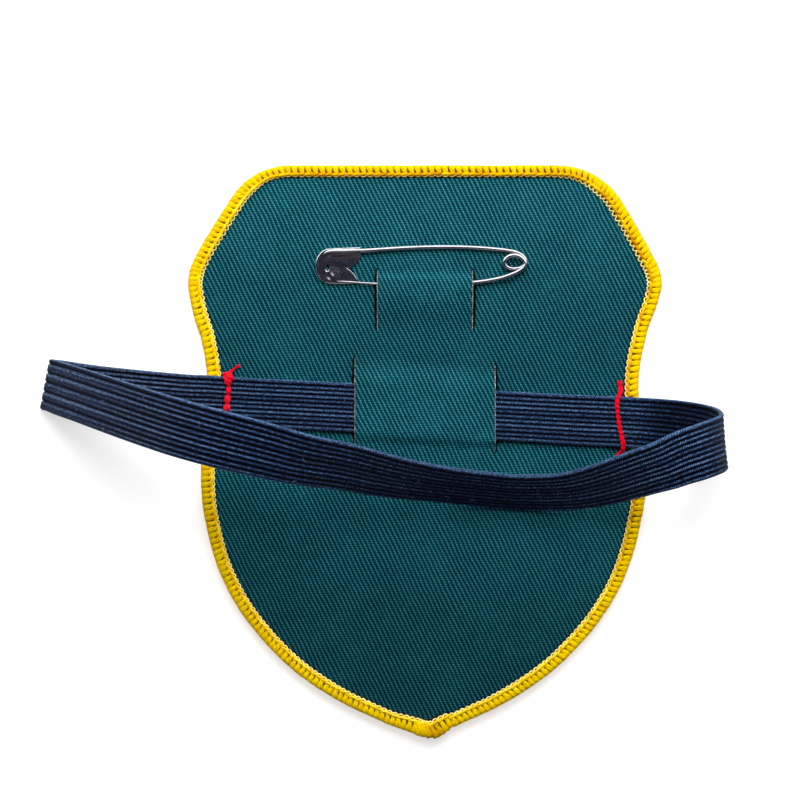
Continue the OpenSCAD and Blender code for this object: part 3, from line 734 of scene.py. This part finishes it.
def slit_grid(step, slits):
    """A grid of columns and rows over the patch, cut along slits: each place inside a slit is there twice,
    once for the cells on its left and once for those on its right. The cut opens more to the strip's outer
    side, and the columns beside it make room for it."""
    xs, ys = BAND_STRIP[0] + step * np.arange(-95, 96), step * np.arange(-117, 117)
    x, y, right = grid(xs, ys)
    left, side = right.copy(), np.zeros(len(x))
    for column, low, high, outer in slits:
        i = int(np.argmin(abs(xs - column)))
        rows = np.flatnonzero((ys > low) & (ys < high))
        bulge = np.sin(np.linspace(0, math.pi, len(rows) + 2)[1:-1]) ** 0.25
        open_left, open_right = np.outer((0.66, 0.05) if outer < 0 else (0.05, 0.66), bulge)
        left[i, rows] = len(x) + np.arange(len(rows))
        x = np.concatenate([x, xs[i] + open_right])
        y = np.concatenate([y, ys[rows]])
        side = np.concatenate([side, np.ones(len(rows))])
        side[right[i, rows]] = -1
        x[right[i, rows]] -= open_left
        for k in (1, 2, 3):
            x[right[i - k, rows]] -= open_left * (1 - k / 4)
            x[right[i + k, rows]] += open_right * (1 - k / 4)
    return x, y, side, cells(left, right)


def slit_fray(slits):
    """Frayed threads along the slits: three lines down each cut edge, under the cloth's top, with chance in
    their places, radii and tints."""
    rng, places = np.random.default_rng(8), 80
    paths, radii = [], []
    for column, low, high, outer in slits:
        for drop in (0.1, 0.24, 0.38):
            rows = np.linspace(low + 0.25, high - 0.25, places)
            x = column - (0.03 - 0.1 * drop) * outer + rng.normal(0, 0.025, places)
            z = cloth_top(np.full(places, column), rows, -float(outer)) - drop
            paths.append(np.stack([x, rows, z], 1))
            radii.append(rng.uniform(0.04, 0.13, places))
    shade = rng.uniform(0.0, 1.0, (len(paths), places))
    return tubes("slit_fray", np.array(paths), np.array(radii), 6, tint=shade)


class PATCH_OT_cloth(Operator):
    """Make the two cloths, the raised strips between the slits and the frayed edges of the slits"""
    bl_idname = "patch.cloth"
    bl_label = "Cloth"

    def execute(self, context):
        settings = context.scene.patch_cloth
        cloth = twill(settings)
        outline, normal, _ = shield(900)
        slits = slit_lines()
        x, y, side, quads = slit_grid(0.5, slits)
        top = cloth_top(x, y, side)
        kept = trimmed(x, y, quads, outline - 1.3 * normal)
        back = slab("back_cloth", x, y, top, top - settings.thickness / MM, kept)
        settle(back, cloth, "cloth", "back_panel")

        # The front cloth's underside rises toward the edge
        x, y, _, quads = slit_grid(1.0, [])
        rise = (1 - ease(nearest(x, y, outline)[1], 2.9, 3.9)) * 0.4
        front = slab("front_cloth", x, y, FRONT_TOP, rise, trimmed(x, y, quads, outline - 1.5 * normal))
        settle(front, cloth, "cloth", "face_panel")

        frayed = yarn("frayed_ends", linear(54, 42, 40), linear(142, 120, 112), linear(228, 214, 202))
        settle(slit_fray(slits), frayed, "cloth")
        return {"FINISHED"}


# Border

def border_frame(count, jitter=0.0):
    """Places round the shield's edge, a little further apart along its top, with their outward and onward
    directions, the way from the tip along the edge, the swelling where the border's two ends lie over each
    other at the tip, and the border's width as a share."""
    fine = 6000
    place, normal, length = shield(fine)
    share = np.concatenate([[0], np.cumsum(1 - 0.15 * ease(normal[:, 1], 0.75, 0.98))])
    at = np.interp(np.arange(count) * share[-1] / count, share, np.arange(fine + 1))
    place, normal = (read_off(at, np.arange(fine + 1), looped(v)) for v in (place, normal))
    normal = unit(normal)
    onward = np.stack([-normal[:, 1], normal[:, 0]], 1)
    way = at * length / fine
    way = np.where(way > length / 2, way - length, way)
    place = place + onward * np.random.default_rng(1).normal(0, jitter, count)[:, None]
    bearing = np.degrees(np.arctan2(place[:, 1], place[:, 0]))
    drift = np.mean([np.interp(bearing + d, *EDGE_DRIFT.T, period=360) for d in (-0.5, 0, 0.5)], 0)
    uneven = drift + 0.08 * ripple(place[:, 0], place[:, 1], 11, 6, 14.0)
    swell = bank(way, -2.8, 1.2, 4.8, 6.4)
    width = 1.05 - 0.15 * ease(normal[:, 1], 0.75, 0.98) + 0.2 * bell(way, 1, 4.5) + 0.3 * bell(way, 5.6, 2.6)
    return Edge(place + normal * (uneven + 0.3 * swell)[:, None], normal, onward, way, swell, width)


def across_border(edge, depth, shift, height):
    """Paths over the border: edge place minus depth times outward plus shift times onward, at a height. Past
    the edge's round, the depth is stretched by the border's width."""
    depth = (depth * np.where(depth > 0.6, edge.width[:, None], 1))[..., None]
    flat = edge.place[:, None] - depth * edge.normal[:, None] + shift[..., None] * edge.onward[:, None]
    return np.concatenate([flat, np.broadcast_to(height, flat.shape[:2])[..., None]], -1)


def border_core(count):
    """The border's core: its section, set across the edge at each of count places, closed round the patch."""
    depth, height, tint = (np.broadcast_to(column, (count, len(column))) for column in BORDER_CORE.T)
    rings = across_border(border_frame(count), depth, np.zeros(1), height)
    return build("border_core", rings, ring_quads(*depth.shape, True), tint=tint)


def border_wraps(edge, slant, rng):
    """The wraps: a flat section carried along the path of a wrap, square to it, with chance in its depth,
    slant, height, size and shade. The shade is painted lighter along the bottom of the patch and darker along
    its top, and painted darker on the two sides of each wrap, as shade in the gaps between wraps. It is
    darker where one of the border's ends goes under the other."""
    count, sides = len(edge.place), len(WRAP_SECTION)
    depth, height, half_width, half_thickness, tint = WRAP_PATH.T
    wide_share, high_share = WRAP_SECTION.T
    deep = depth + rng.normal(0, 0.015, (count, 1))
    shift = math.tan(slant) * (1.3 - deep) * (1 + rng.normal(0, 0.25, (count, 1)))
    swollen = height + 0.25 * edge.swell[:, None] * (height > 2) + rng.normal(0, 0.02, (count, 1))
    path = across_border(edge, deep, shift, swollen)
    along = unit(np.gradient(path, axis=1))
    onward = np.append(edge.onward, np.zeros((count, 1)), 1)[:, None]
    wide = unit(np.cross(along, np.cross(onward, along)))
    out = unit(np.cross(along, wide))
    size = 1 + rng.normal(0, 0.03, (count, 1, 1, 1))
    rings = path[:, :, None] + size * (
        np.outer(half_width, wide_share)[None, ..., None] * wide[:, :, None]
        + np.outer(half_thickness, high_share)[None, ..., None] * out[:, :, None])
    # Painted light: the wraps are lighter along the bottom of the patch and darker along its top
    shade = (tint + rng.normal(0, 0.06, (count, 1)) - 0.12 * edge.normal[:, 1:]
             - 0.45 * bell(edge.way, 4.8, 1.6)[:, None])
    # Painted shade on both sides of each wrap, in the gaps between wraps
    wrap_side_painted_shade = 1 - 0.3 * (abs(wide_share) > 0.9)
    return strands("border_wraps", rings, path, 0.45 * np.arange(sides + 1), shade[..., None] * wrap_side_painted_shade)


def border_chain(edge, rng):
    """The chain along the inner side of the wraps: a link to each wrap, thickest in its middle, with chance
    in its depth, radius and shade. It is darker along the top and the right."""
    count, t = len(edge.place), np.linspace(-1, 1, 6)
    pitch = np.linalg.norm(edge.place[1] - edge.place[0])
    depth = 2.24 + 0.14 * t + rng.normal(0, 0.035, (count, 1))
    path = across_border(edge, depth, 0.78 * pitch * t, 2.42 + 0.12 * (1 - t**2))
    radius = 0.33 * np.sqrt(np.maximum(1 - 0.8 * t**2, 0.05)) * (1 + rng.normal(0, 0.08, (count, 1)))
    shade = (0.7 - 0.45 * ease(edge.normal.sum(1), 0.2, 1.1)[:, None] + 0.12 * t
             + rng.normal(0, 0.12, (count, 1)))
    return tubes("border_chain", path, radius, 6, 0.75, shade)


def border_loops(count, per):
    """The needle loops: one thread that winds like a coil along the inner side of the border, one turn to
    each of count stitches, in per steps. It lies wider round the two upper corners."""
    edge = border_frame(count * per)
    x, y = edge.place.T
    turns = np.arange(count * per) / per * math.tau
    corner = ease(x, 20, 38) * ease(y, 24, 40) + 0.5 * ease(-x, 30, 44) * ease(y, 20, 40)
    depth = (2.62 + 0.2 * corner) * edge.width + (0.17 + 0.17 * corner) * np.cos(turns)
    flat = edge.place - depth[:, None] * edge.normal + 0.12 * np.sin(turns)[:, None] * edge.onward
    height = 2.38 - 0.08 * np.cos(turns) - 0.06 * corner
    upward = edge.normal[:, 1]
    paler = 0.62 - 0.24 * ease(upward, -0.2, 0.8) - 0.22 * ease(upward, 0.85, 0.98)
    return tubes("border_loops", looped(np.append(flat, height[:, None], 1)), 0.135, 6, tint=looped(paler))


class PATCH_OT_border(Operator):
    """Make the overlocked border: the core, the wraps round the edge, the chain and the needle loops"""
    bl_idname = "patch.border"
    bl_label = "Border"

    def execute(self, context):
        settings = context.scene.patch_border
        count, rng = settings.stitches, np.random.default_rng(5)
        # The core's dark end is near black: painted shade in the holes between the wraps and along the inner
        # edge
        core = yarn("border_core_yarn", linear(22, 14, 4), linear(132, 98, 0), linear(240, 176, 4))
        settle(border_core(2 * count), core, "border_yarn", "merrow_border")
        edge = border_frame(count, 0.03)
        bright = tuple(settings.yarn_colour)
        outer = yarn("border_wrap_yarn", linear(160, 110, 0), bright, linear(246, 212, 0))
        settle(border_wraps(edge, settings.slant, rng), outer, "border_yarn", "merrow_border")
        chain = yarn("border_chain_yarn", linear(186, 112, 0), linear(246, 192, 0), linear(255, 226, 50))
        settle(border_chain(edge, rng), chain, "border_yarn", "merrow_border")
        pale = yarn("border_loop_thread", linear(180, 134, 40), linear(246, 228, 136), linear(255, 250, 210))
        settle(border_loops(count, 10), pale, "border_yarn", "merrow_border")
        return {"FINISHED"}


# Elastic

def band_frame():
    """The elastic's middle line, the directions along it, across it and out of its face, and its width. The
    direction across is the heading, made square to the line and turned about it by the lean."""
    rows = smooth(BAND_LINE, 0.95, True, 3)
    place, width = rows[:, :3], rows[:, 5]
    along = unit(np.roll(place, -1, 0) - np.roll(place, 1, 0))
    heading, lean = np.radians(rows[:, 3]), np.radians(rows[:, 4])
    facing = np.stack([np.sin(heading), np.cos(heading), 0 * heading], 1)
    flat = unit(facing - (facing * along).sum(1, keepdims=True) * along)
    out = np.cross(flat, along)
    across = flat * np.cos(lean)[:, None] + out * np.sin(lean)[:, None]
    return place, along, across, np.cross(across, along), width


def elastic_loop(settings, place, across, face, width):
    """The ribbed elastic, closed round its loop: across its width its half thickness follows the ribs, each a
    power of a sine, and is thin at both edges. Its tint is a painted highlight on the ribs and painted shade
    in the grooves, with more painted light and shade on the upper sides of the ribs, round the right bend and
    along the free strap."""
    count, ribs, x = len(place), settings.ribs, place[:, 0]
    half, groove = settings.thickness / MM / 2, settings.groove / MM
    q = np.linspace(0, 1, ribs * 6 + 1)
    single = abs(np.sin(math.pi * ribs * q)) ** 0.8
    double = abs(np.sin(math.pi * ribs / 2 * q)) ** 0.45
    # Ribs draw together in pairs at the sharp fold, and half so along the free strap
    front = (np.arange(count) > np.argmax(x)).astype(float)
    near = np.clip((x + 77) / 60, 0, 1)
    free, sewn = 0.95 - 0.5 * ease(near, 0.05, 0.6), 0.15 + 0.8 * (1 - ease(near, 0.0, 0.12))
    pair = np.where(front > 0, free, sewn)[:, None]
    crest = single * (1 - pair) + pair * (0.65 * double + 0.35 * single * double)
    edge = np.minimum(q, 1 - q) * ribs
    taper = np.sqrt(np.clip(1 - (1 - np.clip(edge / 0.6, 0, 1)) ** 2, 0.12, 1))
    deep = groove * (1 + 0.4 * pair)
    depth = face[:, None] * ((half - deep + deep * crest) * taper)[..., None]
    middle = place[:, None] + across[:, None] * (q - 0.5)[:, None] * width[:, None, None]
    rings = np.concatenate([middle + depth, (middle - depth)[:, ::-1]], 1)
    uv = lay_map(way_along(looped(place)), looped(np.concatenate([q, q[::-1] + 1.2]) * 10))

    # Painted highlight on the crests and painted shade in the grooves
    tone = crest ** (1.3 - 0.85 * pair) * (0.85 + 0.15 * np.sin(np.floor(q * ribs) * 2.4 + 1) ** 2)
    # The upper side of each paired rib gets a painted highlight, and on the free strap only the upper slope
    # of each rib does. A running mean over the rows within reach blends the free strap into the rest round
    # both bends
    upper_painted_light = 0.72 + 0.28 * ease(ribs / 2 * q % 1, 0.4, 0.7)
    flank_painted_light = 0.52 + 0.62 * bank(ribs * q % 1, 0.35, 0.6, 0.8, 0.95)
    reach = 12
    around = np.concatenate([front[-reach:], front, front[:reach]])
    blend = np.convolve(around, np.ones(2 * reach + 1) / (2 * reach + 1), "valid")
    tone = tone * (1 - pair * (1 - upper_painted_light))
    tone = tone * (1 - (blend * ease(near, 0.15, 0.45))[:, None] * (1 - flank_painted_light))
    # Painted shade: the inner side of the right bend is painted darker, and the free strap is painted darker
    # in its middle and lighter at its right
    bend_painted_shade = 1 - 0.35 * (1 - blend) * ease(x, 41, 50)
    darker = 1 - 0.1 * blend * bank(x, -45, -10, 12, 34) + 0.1 * blend * ease(x, 34, 46)
    tone = tone * (bend_painted_shade * darker)[:, None]
    # Both edges are light: a light selvage, and partly a painted highlight where the thin edge catches the
    # light
    tone = np.maximum(tone, 0.9 * (edge < 0.25))
    quads = ring_quads(count, rings.shape[1], True)
    return build("elastic", rings, quads, uv=uv, tint=np.concatenate([tone, tone[:, ::-1]], 1))


def elastic_lint(place, along, across, face, width, half):
    """Lint on both sides of the elastic: short bent hairs in random places and directions."""
    rng = np.random.default_rng(21)
    hairs = 44
    at = rng.integers(0, len(place), hairs)
    along, across, face = along[at], across[at], face[at]
    u = rng.uniform(-0.42, 0.42, hairs)
    side = np.where(rng.uniform(size=hairs) < 0.75, 1, -1)[:, None]
    root = place[at] + across * (u * width[at])[:, None] + face * (side * (half + 0.02))
    turn = rng.uniform(0, math.tau, hairs)[:, None]
    lie = np.cos(turn) * along + np.sin(turn) * across
    bend = -np.sin(turn) * along + np.cos(turn) * across
    t = np.linspace(0, 1, 5)[None, :, None]
    size = rng.uniform(0.5, 1.5, hairs)[:, None, None]
    bow = rng.uniform(-0.6, 0.6, (hairs, 1, 1))
    path = (root[:, None] + lie[:, None] * t * size + bend[:, None] * (t**2) * size * bow
            + (face * side)[:, None] * 0.12 * np.sin(math.pi * t))
    return tubes("elastic_lint", path, 0.028, 4, tint=0.5)


class PATCH_OT_elastic(Operator):
    """Make the loop of ribbed elastic and the lint on it"""
    bl_idname = "patch.elastic"
    bl_label = "Elastic"

    def execute(self, context):
        settings = context.scene.patch_elastic
        place, along, across, face, width = band_frame()
        settle(elastic_loop(settings, place, across, face, width), webbing(), "elastic", "elastic_band")
        lint = yarn("lint", linear(60, 70, 92), linear(100, 112, 138), linear(150, 160, 184))
        settle(elastic_lint(place, along, across, face, width, settings.thickness / MM / 2), lint, "elastic")
        return {"FINISHED"}


# Thread tacks

def stitches(name, line, node_name, seed, beads, material):
    """A row of thread stitches: three plies that wind round a middle line and swell at each knot, painted
    darker at the thin necks between knots as shade.
    """
    rng = np.random.default_rng(seed)
    rows = smooth(line, 0.1, False)
    size, rows = rows[:, 3], rows[:, :3]
    way = way_along(rows)
    along = unit(np.gradient(rows, axis=0))
    side = unit(np.cross(along, (0, 0, 1.0)))
    up = np.cross(side, along)
    swell = size * (1 - beads + 1.25 * beads * abs(np.sin(way * math.pi / 1.05)) ** 0.7)
    wind = (way * math.tau / 2.3 + np.arange(3)[:, None] * math.tau / 3)[..., None]
    paths = rows + 0.3 * swell[:, None] * (np.cos(wind) * side + 0.7 * np.sin(wind) * up)
    radius = 0.27 * swell * (1 + rng.normal(0, 0.03, len(rows)))
    # The tint is painted shade: darker at the thin necks between the knots
    piece = tubes(name, paths, radius, 8, tint=0.15 + 0.5 * np.clip(swell, 0, 1.1))
    settle(piece, material, "tacking_thread", node_name)


class PATCH_OT_tacks(Operator):
    """Make the two rows of red stitches that hold the elastic"""
    bl_idname = "patch.tacks"
    bl_label = "Thread tacks"

    def execute(self, context):
        thread = yarn("red_thread", linear(110, 0, 10), linear(226, 2, 30), linear(250, 40, 62))
        stitches("tack_left_thread", TACK_LEFT, "tack_left", 2, 0.12, thread)
        stitches("tack_left_spur", TACK_SPUR, "tack_left", 3, 0.0, thread)
        stitches("tack_right_thread", TACK_RIGHT, "tack_right", 4, 0.4, thread)
        return {"FINISHED"}


# Safety pin

def plate_cells(rim, slot, cell):
    """Cells of a square grid that lie inside a rim and outside an oval slot. The places along their edge are
    drawn to the nearest point of the rim or the slot, so that the cut is smooth."""
    low, high = rim.min(0) - cell, rim.max(0) + cell
    x, y, ids = grid(np.arange(low[0], high[0], cell), np.arange(low[1], high[1], cell))
    quads = trimmed(x, y, cells(ids, ids), rim)
    mx, my = x[quads].mean(1), y[quads].mean(1)
    quads = quads[((mx - slot[0]) / slot[2]) ** 2 + ((my - slot[1]) / slot[3]) ** 2 > 1]
    edge = np.unique(open_edges(quads))
    a = np.linspace(0, math.tau, 60)
    oval = np.stack([slot[0] + slot[2] * np.cos(a), slot[1] + slot[3] * np.sin(a)], 1)
    target, gap = nearest(x[edge], y[edge], np.vstack([along_line(looped(rim), cell / 5), oval]))
    near = gap < 1.5 * cell
    x[edge[near]], y[edge[near]] = target[near].T
    return x, y, quads


def cover_top(x, y, bead):
    """Height of the clasp's cover: a level plus a smooth rise toward the bead, less a quarter round down to
    the rolled rim, plus small crumples and less a crease, both bell curves."""
    from_bead = nearest(x, y, bead)[1]
    from_rim = nearest(x, y, along_line(ROLLED_RIM, 0.05))[1]
    top = COVER_TOP + 0.46 * (1 - ease(from_bead, 0.5, 1.5)) - 0.1 * ease(from_bead, 1.5, 1.7)
    top = top - 0.62 * (1 - np.sqrt(1 - (1 - np.clip(from_rim / 0.62, 0, 1)) ** 2))
    crumple = bell(x, -18.6, 1.1) * bell(y, 34.4, 0.8)
    top = top + 0.07 * crumple * ripple(x, y, 31, 6, 1.5) + 0.012 * ripple(x, y, 32, 5, 4.0)
    return top - 0.05 * bell(x, -18.25, 0.14) * bank(y, 34.0, 35.0, 36.6, 37.2)


class PATCH_OT_pin(Operator):
    """Make the safety pin: the bent wire and the folded clasp"""
    bl_idname = "patch.pin"
    bl_label = "Safety pin"

    def execute(self, context):
        settings = context.scene.patch_pin
        metal, drawn = plated("nickel_plate", 0.09, 0.14), plated("drawn_wire", 0.2, 0.27)
        rows = smooth(WIRE_LINE, 0.25, False)
        radius = rows[:, 3] * settings.wire / MM / 2
        piece = tubes("pin_wire_round", rows[:, :3] + (0, 0, NEEDLE_Z), radius, 20)
        settle(piece, drawn, "nickel", "pin_wire")

        sheet = settings.sheet / MM
        bead = smooth(CLASP_BEAD, 0.2, False)
        piece = tubes("clasp_bead", bead[:, :3], bead[:, 3], 24)
        settle(piece, plated("rolled_edge", 0.3, 0.38), "nickel", "pin_clasp")
        x, y, quads = plate_cells(CLASP_RIM, CLASP_SLOT, 0.11)
        top = cover_top(x, y, bead[:, :2])
        settle(slab("clasp_cover", x, y, top, top - sheet, quads), metal, "nickel", "pin_clasp")
        piece = slab("clasp_back", x, y, CLASP_BACK_TOP, CLASP_BACK_TOP - sheet, quads)
        settle(piece, metal, "nickel", "pin_clasp")
        mouth = np.append(MOUTH_RIM, np.full((len(MOUTH_RIM), 1), 3.05), 1)
        mouth[-2:, 2] = (2.95, 2.6)
        piece = tubes("clasp_mouth", smooth(mouth, 0.15, False), 0.09, 10)
        settle(piece, metal, "nickel", "pin_clasp")
        return {"FINISHED"}


# Stage

def studio(world):
    """Soft light on the cloths, a studio with a dark ceiling for the metal to mirror, and a plain pale
    backdrop, by the height of each direction over the horizon of the patch's far side."""
    world.use_nodes = True
    tree = world.node_tree
    northward = parts(node(tree, "ShaderNodeTexCoord", out=0))[1] * 0.5 + 0.5
    soft = ramp(northward, (0.0, (0.05, 0.05, 0.06)), (0.6, (0.03, 0.03, 0.045)), (0.7, (0.3, 0.3, 0.32)),
                (0.8, (1.0, 1.0, 1.0)))
    mirrored = ramp(northward, (0.0, (0.3, 0.22, 0.21)), (0.05, (0.1, 0.07, 0.07)),
                    (0.12, (0.03, 0.025, 0.03)), (0.575, (0.01, 0.011, 0.02)), (0.66, (0.92, 0.97, 1.0)))
    to_camera, glossy = (node(tree, "ShaderNodeLightPath", out=k) for k in (0, 3))
    background = tree.nodes["Background"]
    mix(to_camera, mix(glossy, soft, mirrored), (*linear(224, 224, 225), 1)).feed(background.inputs[0])
    (glossy + 1.0).feed(background.inputs[1])


class PATCH_OT_stage(Operator):
    """Make the floor, the lights and the camera"""
    bl_idname = "patch.stage"
    bl_label = "Stage"

    def execute(self, context):
        settings, scene = context.scene.patch_stage, context.scene
        mesh = bpy.data.meshes.new("floor")
        corners = [(x, y, FLOOR_Z) for x, y in ((-6, -6), (6, -6), (6, 6), (-6, 6))]
        mesh.from_pydata(corners, [], [(0, 1, 2, 3)])
        floor = add_object("floor", mesh)
        floor.data.materials.append(finish(
            "pale_floor", Roughness=0.9, Base_Color=(*settings.floor_colour, 1), Emission_Color=(1, 1, 1, 1),
            Emission_Strength=0.6, Specular_IOR_Level=0.0)[0])

        lights = [
            # name, place, size, power, colour
            ("key", (0.01, 0.185, 0.235), 0.2, settings.key_power, (1.0, 0.99, 0.98)),
            ("left", (-0.4, 0.08, 0.3), 0.25, 0.16, (0.97, 0.99, 1.0)),
            ("right", (0.4, 0.1, 0.3), 0.25, 0.18, (1.0, 0.99, 0.98)),
            ("near", (0.0, -0.45, 0.4), 0.3, 0.03, (1.0, 1.0, 1.0)),
        ]
        for name, place, size, power, colour in lights:
            lamp = bpy.data.lights.new(name, "AREA")
            lamp.size, lamp.energy, lamp.color = size, power, colour
            made = add_object(name, lamp)
            made.location = place
            made.visible_glossy = False
            made.rotation_euler = (Vector(LIT_PLACE) - Vector(place)).to_track_quat("-Z", "Y").to_euler()

        scene.view_settings.view_transform = "Standard"
        scene.world = bpy.data.worlds.new("studio")
        studio(scene.world)

        eye = bpy.data.cameras.new("camera")
        eye.sensor_fit = "HORIZONTAL"
        eye.angle = settings.camera_angle
        eye.clip_start = 0.01
        camera = add_object("camera", eye)
        camera.location = (*CAMERA_OVER, settings.camera_height)
        scene.camera = camera
        return {"FINISHED"}


class PATCH_PT_panel(Panel):
    """Settings and pieces of the shoulder patch"""
    bl_idname = "PATCH_PT_panel"
    bl_label = "Shoulder patch"
    bl_space_type = "VIEW_3D"
    bl_region_type = "UI"
    bl_category = "Patch"

    def draw(self, context):
        for operator in OPERATORS:
            box = self.layout.box()
            group = operator.bl_idname.replace(".", "_")
            if group in SETTINGS:
                settings = getattr(context.scene, group)
                for name in SETTINGS[group].__annotations__:
                    box.prop(settings, name)
            box.operator(operator.bl_idname)


SETTINGS = {
    "patch_stage": PatchStage,
    "patch_cloth": PatchCloth,
    "patch_border": PatchBorder,
    "patch_elastic": PatchElastic,
    "patch_pin": PatchPin,
}
OPERATORS = (PATCH_OT_stage, PATCH_OT_cloth, PATCH_OT_border, PATCH_OT_elastic, PATCH_OT_tacks, PATCH_OT_pin)


def register():
    """Adds the classes to Blender and the settings to each scene."""
    for made in (*SETTINGS.values(), *OPERATORS, PATCH_PT_panel):
        bpy.utils.register_class(made)
    for name, group in SETTINGS.items():
        setattr(bpy.types.Scene, name, PointerProperty(type=group))


def unregister():
    """Takes the settings and the classes away again."""
    for name in SETTINGS:
        delattr(bpy.types.Scene, name)
    for made in (PATCH_PT_panel, *reversed(OPERATORS), *reversed(SETTINGS.values())):
        bpy.utils.unregister_class(made)


def main():
    """Makes the stage and every piece."""
    register()
    for make in (bpy.ops.patch.stage, bpy.ops.patch.cloth, bpy.ops.patch.border, bpy.ops.patch.elastic,
                 bpy.ops.patch.tacks, bpy.ops.patch.pin):
        make()


if __name__ == "__main__":
    main()
